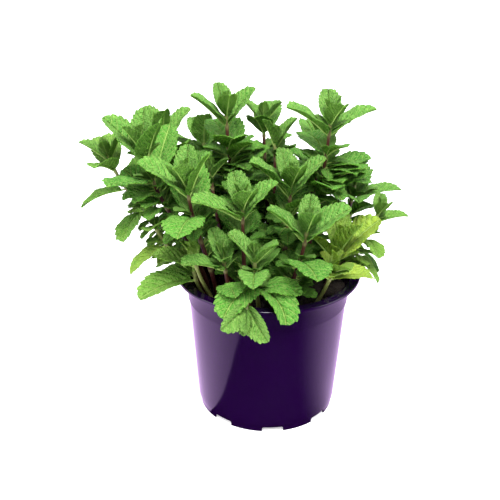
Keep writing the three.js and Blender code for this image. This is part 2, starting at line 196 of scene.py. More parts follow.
for name, place, size, watts in (
    ("top_light", (0.12, -0.62, 1.15), (0.6, 0.5), 30),
    ("left_light", (-1.05, -0.35, 0.5), (0.9, 0.9), 8),
    ("right_light", (1.1, -0.2, 0.5), (0.7, 0.9), 6),
    ("back_light", (0.1, 1.2, 0.8), (1.2, 0.8), 8),
):
    area_light(name, place, size, watts)

# %% What the wall mirrors
SHEET_COLOUR = (0.83, 0.56, 1.0, 1)
SHEET_HEIGHT = -2 * MM
LEFT_SHEET = [(-0.040, -0.020), (-0.057, -0.036), (-0.077, -0.065), (-0.089, -0.100), (-0.093, -0.132),
              (-0.1, -0.5), (-0.9, -0.5), (-0.9, 0.6), (-0.04, 0.6)]
RIGHT_SHEET = [(0.0, -0.4), (0.9, -0.4), (0.9, 0.6), (0.0, 0.6)]


def mirror_sheet(name, corners, weak, strong, start, end):
    """A pale sheet that only mirror rays meet. Seen from above, it goes from weak to strong between two
    angles, counted in degrees from the front round to either side."""
    mesh = bpy.data.meshes.new(name)
    mesh.from_pydata([(x, y, SHEET_HEIGHT) for x, y in corners], [], [range(len(corners))])
    sheet = bpy.data.objects.new(name, mesh)
    bpy.context.scene.collection.objects.link(sheet)
    paint = bpy.data.materials.new(name)
    paint.use_nodes = True
    paint.cycles.emission_sampling = "NONE"
    tree = paint.node_tree
    tree.nodes.clear()
    apart = node(tree, "SeparateXYZ", {"Vector": object_place(tree)})
    across = math_of(tree, "ABSOLUTE", apart.outputs["X"])
    turned = math_of(tree, "ARCTAN2", across, math_of(tree, "MULTIPLY", apart.outputs["Y"], -1))
    limits = {"Value": turned, "From Min": math.radians(start), "From Max": math.radians(end),
              "To Min": weak, "To Max": strong}
    ramp = node(tree, "MapRange", limits, interpolation_type="SMOOTHSTEP").outputs["Result"]
    glow = node(tree, "Emission", {"Color": SHEET_COLOUR, "Strength": ramp})
    node(tree, "OutputMaterial", {"Surface": glow.outputs["Emission"]})
    mesh.materials.append(paint)
    sheet.visible_camera = sheet.visible_diffuse = sheet.visible_shadow = False
    sheet.visible_transmission = sheet.visible_volume_scatter = False
    return sheet


sheets = [mirror_sheet("left_sheet", LEFT_SHEET, 1.2, 2.0, 35, 80),
          mirror_sheet("right_sheet", RIGHT_SHEET, 0, 1.7, 36, 90)]
print("sheets:", [sheet.name for sheet in sheets])

# %% The room and the floor's finish
world = bpy.data.worlds.new("room")
bpy.context.scene.world = world
world.use_nodes = True
feed(world.node_tree, world.node_tree.nodes["Background"], {"Color": (1, 1, 1, 1), "Strength": 1.02})
world.cycles_visibility.glossy = False
bpy.context.scene.view_settings.view_transform = "Standard"
floor_paint, tree, shader = new_material("white_floor")
feed(tree, shader, {"Base Color": (0.93, 0.93, 0.94, 1), "Roughness": 0.9,
                    "Emission Color": (1, 0.99, 1, 1), "Emission Strength": 0.5})
floor.data.materials.append(floor_paint)
print("floor:", floor_paint.name, "world:", world.name)

# %% [markdown]
# ## The pot
# A nursery pot is moulded in one shot from thin plastic: a stepped foot with notches that let water out, a
# straight taper, a wider collar, and a flat lip with a turned-down edge that stiffens the mouth. It could be
# a profile turned round with a screw modifier, but drawing the wall up ring by ring, as on a potter's wheel,
# shows where each step lies. So one circle is extruded and scaled up the outside, over the lip, and down
# the inside.

# %% Pot sizes, read from the frame
POT_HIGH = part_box("pot")[1]
POT_HEIGHT = POT_HIGH.z
RIM_RADIUS = POT_HIGH.x
BASE_RADIUS = RIM_RADIUS - 15.5 * MM
NECK_RADIUS = RIM_RADIUS - 9 * MM
COLLAR_STEP = 0.6 * MM
COLLAR_RADIUS = RIM_RADIUS - 6 * MM
COLLAR_HEIGHT = 20 * MM
LIP_HEIGHT = 2.4 * MM
WALL = 1.2 * MM
FOOT_HEIGHT = 6 * MM
FOOT_STEP = 0.7 * MM
FOOT_NOTCHES = 8
NOTCH_WIDTH = 15 * MM
NOTCH_HEIGHT = 3.4 * MM
NOTCH_DEPTH, NOTCH_BEVEL = 12 * MM, 1.3 * MM
NOTCH_TURN = math.radians(-85)
DRAIN_RADIUS = 4 * MM
DRAIN_RING = 38 * MM
CENTRE_FOOT_RADIUS = 9 * MM
POT_SEGMENTS = 144
POT_SMOOTHING = math.radians(38)
COLLAR_FOOT = POT_HEIGHT - COLLAR_HEIGHT
LIP_FOOT = POT_HEIGHT - LIP_HEIGHT
FLOOR_TOP = FOOT_HEIGHT + WALL


def wall_radius(height):
    """The radius of the pot's outer wall at heights, without the lip."""
    ledge = NECK_RADIUS + COLLAR_STEP
    below = BASE_RADIUS + (NECK_RADIUS - BASE_RADIUS) * height / COLLAR_FOOT
    above = ledge + (COLLAR_RADIUS - ledge) * (height - COLLAR_FOOT) / COLLAR_HEIGHT
    return np.where(height <= COLLAR_FOOT, below, above)


print("pot", round(2000 * RIM_RADIUS, 1), "mm across,", round(1000 * POT_HEIGHT, 1), "mm high")


# %% Ring by ring
def edit_all():
    """Goes into edit mode with all of the active mesh selected."""
    bpy.ops.object.mode_set(mode="EDIT")
    bpy.ops.mesh.select_all(action="SELECT")


def finish_edit(merge_within=0.0):
    """Merges doubles, turns all faces outwards and leaves edit mode."""
    bpy.ops.mesh.select_all(action="SELECT")
    if merge_within:
        bpy.ops.mesh.remove_doubles(threshold=merge_within)
    bpy.ops.mesh.normals_make_consistent(inside=False)
    bpy.ops.object.mode_set(mode="OBJECT")


def start_ring(name, radius, height, segments, fill="NOTHING"):
    """A circle to draw a turned shape from, left in edit mode with its rim selected."""
    deselect_all()
    bpy.ops.mesh.primitive_circle_add(
        vertices=segments, radius=radius, location=(0, 0, height), fill_type=fill
    )
    piece = bpy.context.object
    piece.name = name
    bpy.ops.object.transform_apply(location=True)
    edit_all()
    return piece


def draw_rings(first, rings):
    """Extrudes the selected ring to each (radius, height) in turn."""
    radius, height = first
    for next_radius, next_height in rings:
        rise = (0, 0, next_height - height)
        bpy.ops.mesh.extrude_region_move(TRANSFORM_OT_translate={"value": rise})
        scale = next_radius / radius
        bpy.ops.transform.resize(value=(scale, scale, 1), center_override=(0, 0, 0))
        radius, height = next_radius, next_height


def arc(centre_radius, centre_height, reach, start, end, steps):
    """Ring sizes round an arc, with its angles in degrees from outwards to up."""
    angles = [math.radians(start + (end - start) * i / steps) for i in range(steps + 1)]
    return [(centre_radius + reach * math.cos(a), centre_height + reach * math.sin(a)) for a in angles]


print("a quarter round in five steps has", len(arc(0, 0, 1, 0, 90, 5)), "rings")

# %% The pot's outline
foot_outside = BASE_RADIUS - FOOT_STEP
lip_under = POT_HEIGHT - WALL
ledge_inside = NECK_RADIUS + COLLAR_STEP - WALL
outside = [
    (foot_outside - 0.25 * MM, 0.0),
    *arc(foot_outside - 0.4 * MM, 0.4 * MM, 0.4 * MM, -60, 0, 3),
    (foot_outside, FOOT_HEIGHT - 1.1 * MM),
    (foot_outside + 0.15 * MM, FOOT_HEIGHT - 0.7 * MM),
    (wall_radius(FOOT_HEIGHT) - 0.1 * MM, FOOT_HEIGHT - 0.15 * MM),
    (wall_radius(FOOT_HEIGHT), FOOT_HEIGHT + 0.3 * MM),
    *[(wall_radius(z * MM), z * MM) for z in range(12, 84, 6)],
    (NECK_RADIUS, COLLAR_FOOT - 0.2 * MM),
    (NECK_RADIUS + 0.8 * COLLAR_STEP, COLLAR_FOOT),
    (NECK_RADIUS + 1.25 * COLLAR_STEP, COLLAR_FOOT + 0.25 * MM),
    (NECK_RADIUS + 1.2 * COLLAR_STEP, COLLAR_FOOT + 0.5 * MM),
    (NECK_RADIUS + COLLAR_STEP, COLLAR_FOOT + 0.8 * MM),
    (wall_radius(POT_HEIGHT - 8 * MM), POT_HEIGHT - 8 * MM),
    (COLLAR_RADIUS - 0.2 * MM, lip_under - 1.2 * MM),
    (COLLAR_RADIUS + 0.1 * MM, lip_under - 0.35 * MM),
    (COLLAR_RADIUS + 0.7 * MM, lip_under),
    (RIM_RADIUS - WALL - 0.4 * MM, lip_under),
    (RIM_RADIUS - WALL, lip_under - 0.3 * MM),
    *arc(RIM_RADIUS - 0.6 * MM, LIP_FOOT + 0.6 * MM, 0.6 * MM, -170, 0, 6),
    *arc(RIM_RADIUS - 0.8 * MM, POT_HEIGHT - 0.8 * MM, 0.8 * MM, 0, 90, 5),
    (COLLAR_RADIUS + 2.6 * MM, POT_HEIGHT),
    *arc(COLLAR_RADIUS + 0.4 * MM, POT_HEIGHT - 1.6 * MM, 1.6 * MM, 90, 180, 6),
]
inside = [
    (ledge_inside, COLLAR_FOOT + 1.2 * MM),
    (ledge_inside - 0.4 * MM, COLLAR_FOOT + 0.2 * MM),
    (NECK_RADIUS - WALL, COLLAR_FOOT - 0.6 * MM),
    (wall_radius(FLOOR_TOP) - WALL, FLOOR_TOP + 1.5 * MM),
    (wall_radius(FLOOR_TOP) - WALL - 1.5 * MM, FLOOR_TOP),
    (DRAIN_RING, FLOOR_TOP),
    (2 * MM, FLOOR_TOP),
]
underside = [
    (foot_outside - WALL, 0.0),
    (foot_outside - WALL, FOOT_HEIGHT),
    (CENTRE_FOOT_RADIUS, FOOT_HEIGHT),
    (CENTRE_FOOT_RADIUS, 0.0),
    (2 * MM, 0.0),
]
print("rings:", len(outside), "outside,", len(inside), "inside,", len(underside), "under the floor")

# %% Drawing the wall
first_ring = (foot_outside - 0.5 * MM, 0.0)
pot = start_ring("moulded_pot", *first_ring, POT_SEGMENTS)
draw_rings(first_ring, outside + inside)
bpy.ops.mesh.edge_face_add()
bpy.ops.mesh.select_all(action="DESELECT")
bpy.ops.object.mode_set(mode="OBJECT")
for vertex in pot.data.vertices:
    radius = math.hypot(vertex.co.x, vertex.co.y)
    vertex.select = vertex.co.z < 1e-7 and abs(radius - first_ring[0]) < 1e-5
bpy.ops.object.mode_set(mode="EDIT")
draw_rings(first_ring, underside)
bpy.ops.mesh.edge_face_add()
finish_edit(merge_within=1e-6)
print("pot wall:", len(pot.data.polygons), "faces")

# %% [markdown]
# The foot has notches for water to run out, and the floor has drain holes. Both are cut with a Boolean
# modifier: one block and one short rod are modelled, copied round the pot, joined, and subtracted together.


# %% Notches and drain holes
def join_pieces(pieces, name):
    """Joins pieces into the first of them."""
    select_only(pieces)
    if len(pieces) > 1:
        bpy.ops.object.join()
    pieces[0].name = name
    return pieces[0]


def copy_of(piece):
    """A copy with its own mesh."""
    copied = piece.copy()
    copied.data = piece.data.copy()
    bpy.context.scene.collection.objects.link(copied)
    return copied


def apply_modifier(piece, kind, **settings):
    """Adds a modifier with its settings and applies it."""
    select_only([piece])
    modifier = piece.modifiers.new(kind.lower(), kind)
    for name, value in settings.items():
        setattr(modifier, name, value)
    bpy.ops.object.modifier_apply(modifier=modifier.name)


cutters = []
for i in range(FOOT_NOTCHES):
    turn = NOTCH_TURN + i * 2 * math.pi / FOOT_NOTCHES
    around = Vector((math.cos(turn), math.sin(turn), 0))
    deselect_all()
    bpy.ops.mesh.primitive_cube_add(size=1, location=BASE_RADIUS * around, rotation=(0, 0, turn))
    block = bpy.context.object
    block.scale = (NOTCH_DEPTH, NOTCH_WIDTH, 2 * NOTCH_HEIGHT)
    bpy.ops.object.transform_apply(location=True, rotation=True, scale=True)
    apply_modifier(block, "BEVEL", width=NOTCH_BEVEL, segments=4)
    cutters.append(block)
    if i % 2 == 0:
        deselect_all()
        place = DRAIN_RING * around + Vector((0, 0, FOOT_HEIGHT + WALL / 2))
        bpy.ops.mesh.primitive_cylinder_add(
            vertices=32, radius=DRAIN_RADIUS, depth=4 * WALL, location=place
        )
        bpy.ops.object.transform_apply(location=True)
        cutters.append(bpy.context.object)
cutter = join_pieces(cutters, "notch_cutter")
apply_modifier(pot, "BOOLEAN", operation="DIFFERENCE", solver="EXACT", object=cutter)
bpy.data.objects.remove(cutter)
select_only([pot])
bpy.ops.object.shade_smooth_by_angle(angle=POT_SMOOTHING)
print("pot cut:", len(pot.data.polygons), "faces")

# %% [markdown]
# The plastic is a deep purple with a high gloss, a very faint ripple from the mould, and a film of fine
# dust and handling marks that makes the gloss uneven.

# %% Pot plastic
PLASTIC_PURPLE = (0.0064, 0.0003, 0.0178, 1)
pot_plastic, tree, shader = new_material("glossy_purple_plastic")
place = object_place(tree)
ripple = noise(tree, 38, 2.0, place)
grain = noise(tree, 1400, 2.0, place)
smears = node(tree, "TexNoise", {"Vector": place, "Scale": 45.0, "Detail": 6.0, "Roughness": 0.65})
uneven = node(tree, "MapRange", {"Value": smears.outputs["Fac"], "To Min": 0.06, "To Max": 0.2})
height = math_of(tree, "MULTIPLY_ADD", grain, 0.03, ripple)
dust_spots = node(tree, "TexVoronoi", {"Vector": place, "Scale": 260.0, "Randomness": 1.0})
dust = fade(tree, dust_spots.outputs["Distance"], 0.02, 0.09)
dust = math_of(tree, "MULTIPLY", dust, 0.35)
feed(tree, shader, {
    "Base Color": blend_colours(tree, dust, PLASTIC_PURPLE, (0.10, 0.06, 0.14, 1)),
    "Roughness": uneven.outputs["Result"],
    "Specular IOR Level": 0.5,
    "Normal": bump(tree, height, 0.35 * MM, 0.35),
})
pot.data.materials.append(pot_plastic)
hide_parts("pot")
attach(pot, "root")
print("pot material:", pot_plastic.name)

# %% [markdown]
# ## The soil
# The soil nearly fills the pot. Its top is a disc that is inset ring by ring, so that there is enough mesh
# for a displace modifier to roughen it, and loose crumbs and fibres of peat lie on it.

# %% Soil body
SEAT_GAP = 0.3 * MM
SOIL_TOP = POT_HEIGHT - 14 * MM
SOIL_SEGMENTS, SOIL_INSETS = 120, 34
soil_edge = wall_radius(SOIL_TOP) - WALL - SEAT_GAP
soil_floor = FLOOR_TOP + SEAT_GAP
soil_foot = wall_radius(soil_floor) - WALL - SEAT_GAP
soil = start_ring("potting_soil", soil_foot, soil_floor, SOIL_SEGMENTS, "NGON")
draw_rings(
    (soil_foot, soil_floor),
    [
        (NECK_RADIUS - WALL - SEAT_GAP, COLLAR_FOOT),
        (soil_edge - 0.3 * MM, SOIL_TOP - 1.5 * MM),
        (soil_edge - 0.5 * MM, SOIL_TOP),
    ],
)
for _ in range(SOIL_INSETS):
    bpy.ops.mesh.inset(thickness=1.6 * MM)
finish_edit()
top_points = soil.vertex_groups.new(name="top")
top_points.add([v.index for v in soil.data.vertices if v.co.z > SOIL_TOP - 1e-5], 1.0, "REPLACE")
for name, size, strength in (("swell", 0.022, 0.005), ("lumps", 0.006, 0.0036), ("grains", 0.002, 0.0016)):
    clouds = bpy.data.textures.new(name, "CLOUDS")
    clouds.noise_scale = size
    apply_modifier(
        soil, "DISPLACE", texture=clouds, strength=strength, mid_level=0.55,
        direction="Z", vertex_group="top",
    )
print("soil:", len(soil.data.polygons), "faces")

# %% Crumbs and fibres
CRUMBS = 420
FIBRES = 46
dice = random.Random(11)


def scatter_place(reach, sink):
    """A place on the soil, with its height."""
    turn, radius = dice.uniform(0, 2 * math.pi), reach * math.sqrt(dice.random())
    return Vector((radius * math.cos(turn), radius * math.sin(turn), SOIL_TOP - sink))


def scatter(master, count, sizes, sink, name):
    """Copies of a small master, turned and sized at random, laid over the soil."""
    copies = []
    for _ in range(count):
        piece = copy_of(master)
        size = dice.uniform(*sizes)
        piece.location = scatter_place(soil_edge - 3 * MM, sink)
        piece.rotation_euler = [dice.uniform(0, math.pi) for _ in range(3)]
        piece.scale = (size, size * dice.uniform(0.6, 1), size * dice.uniform(0.5, 0.9))
        copies.append(piece)
    bpy.data.objects.remove(master)
    joined = join_pieces(copies, name)
    bpy.ops.object.transform_apply(location=True, rotation=True, scale=True)
    return joined


deselect_all()
bpy.ops.mesh.primitive_ico_sphere_add(subdivisions=2, radius=1)
crumb = bpy.context.object
lumpy = bpy.data.textures.new("crumb_lumps", "CLOUDS")
lumpy.noise_scale = 0.7
apply_modifier(crumb, "DISPLACE", texture=lumpy, strength=0.9, mid_level=0.5)
crumbs = scatter(crumb, CRUMBS, (0.8 * MM, 2.4 * MM), 0.2 * MM, "soil_crumbs")
deselect_all()
bpy.ops.mesh.primitive_cylinder_add(vertices=5, radius=0.28, depth=9)
fibre = bpy.context.object
fibres = scatter(fibre, FIBRES, (0.8 * MM, 1.5 * MM), -0.6 * MM, "soil_fibres")
loose = join_pieces([crumbs, fibres], "soil_crumbs")
print("loose pieces:", CRUMBS + FIBRES)

# %% Soil finish
soil_earth, tree, shader = new_material("damp_peat")
place = object_place(tree)
patches = noise(tree, 260, 4.0, place)
fine = noise(tree, 1900, 3.0, place)
earth = blend_colours(tree, patches, (0.006, 0.0042, 0.0036, 1), (0.032, 0.020, 0.013, 1))
feed(tree, shader, {"Base Color": earth, "Roughness": 0.85, "Normal": bump(tree, fine, 0.6 * MM)})
for piece in (soil, loose):
    piece.data.materials.append(soil_earth)
    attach(piece, "root")
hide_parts("soil")
print("crumbs:", len(loose.data.polygons), "faces")

# %% [markdown]
# ## How the shoots grow
# Mint carries its leaves in pairs, each pair crossed with the one below, and a leaf that would push into a
# neighbour bends aside. The frame's leafy stems were grown by that rule, so the finer pieces grow by it too,
# from the same table, and come out in the same places. Everything in this part is in millimetres. Each row
# gives a shoot's name, where it stands in the soil, where its tip is, which way its third pair points, how
# many pairs it has and how far apart, the length of its main leaves, and how far its lowest leaves hang.

# %% The table of shoots
from collections import namedtuple
from types import SimpleNamespace

Shoot = namedtuple("Shoot", "name root tip turn pairs spread leaf hang")
SHOOTS = [
    Shoot(*row)
    for row in [
        ("front_low", (-6, -39), (-10, -51, 137), 80, 5, 1, 34, 30),
        ("over_rim", (-13, -49), (-15, -71, 109), 75, 2, 1, 37, 0),
        ("front_left", (-22, -36), (-30, -46, 135), 25, 4, 0.9, 33, 14),
        ("left_bottom", (-35, -27), (-50, -38, 132), 172, 3, 0.8, 32, 20),
        ("low_right", (36, -13), (48, -10, 125), 30, 3, 0.9, 46, -6),
        ("front_right", (10, -32), (24, -42, 155), 4, 5, 1, 37, -12),
        ("centre_front", (-16, -29), (-18, -36, 168), 12, 5, 1, 38, 4),
        ("mid_right", (9, -10), (14, -8, 173), 19, 5, 1, 38, 0),
        ("left_front", (-34, -22), (-54, -34, 182), 168, 6, 0.95, 40, -10),
        ("left_tall", (-40, -8), (-84, -16, 200), 150, 5, 1, 38, -28),
        ("right_tall", (26, 8), (40, 8, 212), 12, 6, 1, 38, 8),
        ("centre_back", (-18, 10), (-30, 16, 215), 18, 6, 1, 32, -14),
        ("left_rim", (-40, -20), (-51, -28, 116), 183, 3, 0.6, 42, 40),
        ("right_low", (29, -29), (42, -38, 124), 20, 3, 0.8, 32, 50),
        ("far_right", (38, 2), (77, 12, 144), 8, 4, 0.8, 25, 10),
        ("far_left", (-40, 6), (-110, 8, 185), 95, 5, 1, 32, 6),
        ("left_back", (-32, 16), (-75, 24, 197), 30, 6, 1, 34, 0),
        ("mid_back", (4, 12), (4, 27, 189), 110, 6, 1, 33, 0),
        ("back", (2, 36), (-4, 56, 197), 75, 6, 1, 31, 0),
        ("centre", (-25, -5), (-40, -2, 178), 35, 5, 1, 37, 8),
        ("right_mid", (40, 10), (60, 20, 161), 80, 5, 1, 35, 4),
        ("low_left", (-39, -12), (-80, -16, 151), 120, 4, 0.9, 30, 10),
        ("back_left", (-22, 32), (-48, 60, 179), 20, 5, 1, 37, 6),
        ("back_right", (22, 30), (39, 60, 182), 110, 5, 1, 37, 4),
        ("back_low", (-4, 40), (-8, 74, 141), 50, 4, 0.9, 36, 14),
        ("far_back_right", (36, 23), (68, 44, 151), 15, 5, 0.9, 35, 10),
        ("far_back_left", (-35, 21), (-79, 42, 155), 140, 4, 0.9, 34, 10),
    ]
]
PAIR_DROPS = (2, 5, 12, 27, 47, 72)
PAIR_SIZES = (0.42, 0.7, 0.92, 1, 1.05, 1)
PAIR_ANGLES = (12, 30, 44, 60, 75, 88)
PAIR_ARCHES = (6, 16, 26, 34, 42, 50)
PAIR_FOLDS = (40, 32, 24, 16, 12, 10)
PAIR_PETIOLES = (1.6, 2.2, 3, 4, 5, 5)
TURN_SPREAD, ANGLE_SPREAD, SIZE_SPREAD = 9, 7, 0.09
LEAF_ASPECT = 0.37
WIDEST_AT = 0.92
OUTLINE_FULLNESS = 0.5
PETIOLE_HALF_WIDTH = 0.9
LIGHT_PULL, HANGING_PULL = 0.45, 0.9
RISE_LOW, RISE_TIP, LEAN_LOW, LEAN_TIP = 0.42, 0.42, 0.05, 0.2
CREST_LOW, CREST_TIP, CREST_REACH = 124, 116, 0.3
# Ways to bend a leaf clear, tried in turn: degrees of lift, degrees of swing, share of the size.
BENDS = [
    (0, 0, 1), (-10, 0, 1), (10, 0, 1), (0, 13, 1), (0, -13, 1),
    (-18, 8, 0.95), (18, -8, 0.95), (-8, -22, 0.92), (8, 22, 0.92), (0, 0, 0.84),
    (-20, -10, 0.84), (20, 10, 0.84), (-10, 30, 0.78), (10, -30, 0.78), (-28, 0, 0.72),
    (28, 0, 0.72), (0, 36, 0.66), (0, -36, 0.66), (-30, 15, 0.58), (30, -15, 0.58),
]
CELL = 1.8
SAMPLE_STEP = 1.5
POT_CLEARANCE = 2
STEM_WIDTH_LOW, STEM_WIDTH_TIP = 3.4, 1.9
ROOT_DEPTH = 16
print(len(SHOOTS), "shoots")

# %% Stems as curves
CURVE_SAMPLES = 60
ROOT_HEIGHT = SOIL_TOP / MM - ROOT_DEPTH


def unit(vector):
    """The vector's direction, one long."""
    return vector / np.linalg.norm(vector)


def bezier(points, t):
    """The point of a cubic Bezier curve at t."""
    foot, low, high, tip = points
    u = 1 - t
    return u**3 * foot + 3 * u * u * t * low + 3 * u * t * t * high + t**3 * tip


def make_stem(shoot):
    """A stem rises almost straight out of the soil and leans out to its tip, or hangs over the rim."""
    foot, tip = np.array([*shoot.root, ROOT_HEIGHT], float), np.array(shoot.tip, float)
    lean, height = tip - foot, tip[2] - foot[2]
    low = foot + (LEAN_LOW * lean[0], LEAN_LOW * lean[1], RISE_LOW * height)
    high = tip - (LEAN_TIP * lean[0], LEAN_TIP * lean[1], RISE_TIP * height)
    hangs = math.hypot(tip[0], tip[1]) > RIM_RADIUS / MM and tip[2] < CREST_TIP
    if hangs:
        low[2] = CREST_LOW
        high = np.array([*(tip - CREST_REACH * lean)[:2], CREST_TIP])
    points = (foot, low, high, tip)
    steps = [bezier(points, i / CURVE_SAMPLES) for i in range(CURVE_SAMPLES + 1)]
    lengths = np.concatenate([[0], np.cumsum([np.linalg.norm(b - a) for a, b in zip(steps, steps[1:])])])
    return SimpleNamespace(
        points=points, steps=np.array(steps), lengths=lengths, whole=lengths[-1], hangs=hangs
    )


def frame_at(stem, length):
    """The stem's point at a length from its foot, with the directions along it and across it."""
    wanted = min(max(length, 0), stem.whole)
    t = np.interp(wanted, stem.lengths, np.arange(CURVE_SAMPLES + 1) / CURVE_SAMPLES)
    ahead, behind = bezier(stem.points, min(t + 1e-4, 1)), bezier(stem.points, max(t - 1e-4, 0))
    along = unit(ahead - behind)
    side = unit(np.array([1.0, 0, 0]) - along * along[0])
    return bezier(stem.points, t), along, side, np.cross(along, side)


stems = [make_stem(shoot) for shoot in SHOOTS]
print("longest stem", round(max(stem.whole for stem in stems)), "mm")


# %% Leaves as bent sheets
def lay_leaf(stem, drop, turn, angle, length, petiole, arch, fold, level):
    """A leaf at a drop below a stem's tip. It points to a turn round the stem and an angle off it, and its
    face is turned to the light."""
    at, along, side, across = frame_at(stem, stem.whole - drop)
    radial = side * math.cos(turn) + across * math.sin(turn)
    out = along * math.cos(angle) + radial * math.sin(angle)
    light = unit(np.array([at[0], at[1], 0])) if stem.hangs else np.array([0, 0, 1])
    pull = HANGING_PULL if stem.hangs else LIGHT_PULL
    face = (along * math.sin(angle) - radial * math.cos(angle)) * (1 - pull) + light * pull
    face = unit(face - out * face.dot(out))
    return SimpleNamespace(
        base=at, out=out, face=face, side=np.cross(out, face), length=length, petiole=petiole,
        arch=arch, fold=fold, level=level, turn=turn,
    )


def pair_leaf(shoot, stem, level, draws, flip, bend):
    """The leaf of one side of one pair, bent from its natural place."""
    lift, swing, size = bend
    turn = math.radians(shoot.turn + 90 * (2 - level) + 180 * flip + draws[0] + swing)
    hang = shoot.hang * level / (len(PAIR_DROPS) - 1)
    angle = math.radians(PAIR_ANGLES[level] + draws[1] + hang + lift)
    return lay_leaf(
        stem, shoot.spread * PAIR_DROPS[level], turn, angle,
        shoot.leaf * PAIR_SIZES[level] * draws[2] * size, PAIR_PETIOLES[level],
        math.radians(PAIR_ARCHES[level] + hang), math.radians(PAIR_FOLDS[level]), level,
    )


def leaf_points(leaf, length, aside, height):
    """Points of a leaf from arrays: length along its midrib, place to the side, height over the blade."""
    blade = np.maximum(length - leaf.petiole, 0)
    bend = leaf.arch * blade / leaf.length
    reach = leaf.length * np.sin(bend) / leaf.arch
    sag = leaf.length * (1 - np.cos(bend)) / leaf.arch
    rise = np.abs(aside) * math.sin(leaf.fold) + height
    ahead = np.minimum(length, leaf.petiole) + reach + np.sin(bend) * rise
    up = np.cos(bend) * rise - sag
    sideways = aside * math.cos(leaf.fold)
    return leaf.base + np.outer(ahead, leaf.out) + np.outer(up, leaf.face) + np.outer(sideways, leaf.side)


def half_width(leaf, share):
    """Half the width of a blade at a share of its length, without its teeth."""
    full = leaf.length * LEAF_ASPECT * math.sin(math.pi * share**WIDEST_AT) ** OUTLINE_FULLNESS
    return max(full, PETIOLE_HALF_WIDTH if share < 0.5 else 0)


def leaf_samples(leaf):
    """Points all over a blade, close enough together to feel what it would cross."""
    lengths, asides = [], []
    steps = max(3, int(leaf.length / SAMPLE_STEP + 0.5))
    for i in range(steps + 1):
        half = half_width(leaf, min(i / steps, 0.995))
        rows = max(1, int(half / SAMPLE_STEP + 0.5))
        for j in range(-rows, rows + 1):
            lengths.append(leaf.petiole + i / steps * leaf.length)
            asides.append(half * j / rows)
    return leaf_points(leaf, np.array(lengths), np.array(asides), 0)


print("ways to bend a leaf clear:", len(BENDS))

# %% Keeping clear of each other
GRID = 260
GRID_MIDDLE = 110  # the cell where the pot's axis and the surface under it lie
taken = np.zeros((GRID, GRID, GRID), np.int32)  # cells of space, one bit for each shoot near them


def cells_of(points):
    """The cells of space that points lie in."""
    return np.floor(points / CELL).astype(int) + GRID_MIDDLE


def take(points, owner, reach):
    """Marks the space round points as taken by a shoot."""
    for i, j, k in np.unique(cells_of(points), axis=0):
        near = (slice(i - reach, i + reach + 1), slice(j - reach, j + reach + 1),
                slice(k - reach, k + reach + 1))
        taken[near] |= 1 << owner


def meets_pot(points):
    """True for the points in the pot's wall, in the soil, or too close to either."""
    z = points[:, 2]
    off = np.hypot(points[:, 0], points[:, 1])
    wall = wall_radius(z * MM) / MM
    by_lip = z > (POT_HEIGHT - LIP_HEIGHT) / MM - POT_CLEARANCE
    outside = np.where(by_lip, RIM_RADIUS / MM, wall) + POT_CLEARANCE
    inside = wall - WALL / MM - POT_CLEARANCE
    close = (off > inside) | (z < SOIL_TOP / MM + 2 * POT_CLEARANCE)
    return close & (off <= outside) & (z <= POT_HEIGHT / MM + POT_CLEARANCE)


def is_clear(points, owner):
    """True where a shoot's new points touch neither another shoot nor the pot."""
    cells = cells_of(points)
    others = taken[cells[:, 0], cells[:, 1], cells[:, 2]] & ~(1 << owner)
    return not others.any() and not meets_pot(points).any()


print("cells of space:", taken.size)


# %% Growing the main pairs
def settles(leaf, owner, reach=math.inf):
    """Whether a leaf has room nearer to the pot's axis than reach. If so, it takes that room."""
    samples = leaf_samples(leaf)
    if np.hypot(samples[:, 0], samples[:, 1]).max() >= reach or not is_clear(samples, owner):
        return False
    take(samples, owner, 1)
    return True


def make_dice(seed):
    """A repeatable stream of draws between 0 and 1."""
    state = (seed * 2654435 + 12345) % 2**32

    def draw():
        nonlocal state
        state = (state * 1664525 + 1013904223) % 2**32
        return state / 2**32

    return draw


def grow_pairs(owner):
    """The leaves of a shoot, pair by pair from the tip down."""
    shoot, stem, draw = SHOOTS[owner], stems[owner], make_dice(owner + 1)
    leaves = []
    for level in range(shoot.pairs):
        for flip in range(2):
            turn, angle, size = (2 * draw() - 1 for _ in range(3))
            draws = (TURN_SPREAD * turn, ANGLE_SPREAD * angle, 1 + SIZE_SPREAD * size)
            for bend in BENDS:
                leaf = pair_leaf(shoot, stem, level, draws, flip, bend)
                if settles(leaf, owner):
                    leaves.append(leaf)
                    break
    return leaves


for owner, stem in enumerate(stems):
    take(np.array([frame_at(stem, s)[0] for s in np.arange(0, stem.whole, SAMPLE_STEP)]), owner, 2)
grown = [grow_pairs(owner) for owner in range(len(SHOOTS))]
print("leaves:", sum(len(leaves) for leaves in grown))

# %% [markdown]
# The frame keeps to the main pairs of leaves, to stay light. Four kinds are added here: the heart of each
# tip, where the youngest pairs are still folded, the side shoots that start in the joint between a leaf and
# its stem, the leaves on short twigs that fill the shade between the stems, and two broad leaves that arch
# out over the rim at the front. A small one is left out where it would push into another shoot, and twigs
# stay within the crown, which opens upwards. Scattering leaves at random over a surface would fill the
# crown faster, but then none would hang on a stem.

# %% Hearts and side shoots
young_dice = random.Random(5)
HEART_PAIRS = [(1.2, 0.32, 14, 38), (0.0, 0.2, 8, 44)]  # drop, share of size, degrees of angle and fold
HEART_STALK, HEART_ARCH = 0.6, 0.2
SIDE_SPREAD, SIDE_LEAN, SIDE_SIZES = 34, (30, 44), (0.26, 0.42)
SIDE_STALK, SIDE_ARCH, SIDE_FOLD = 3.0, 0.5, 24


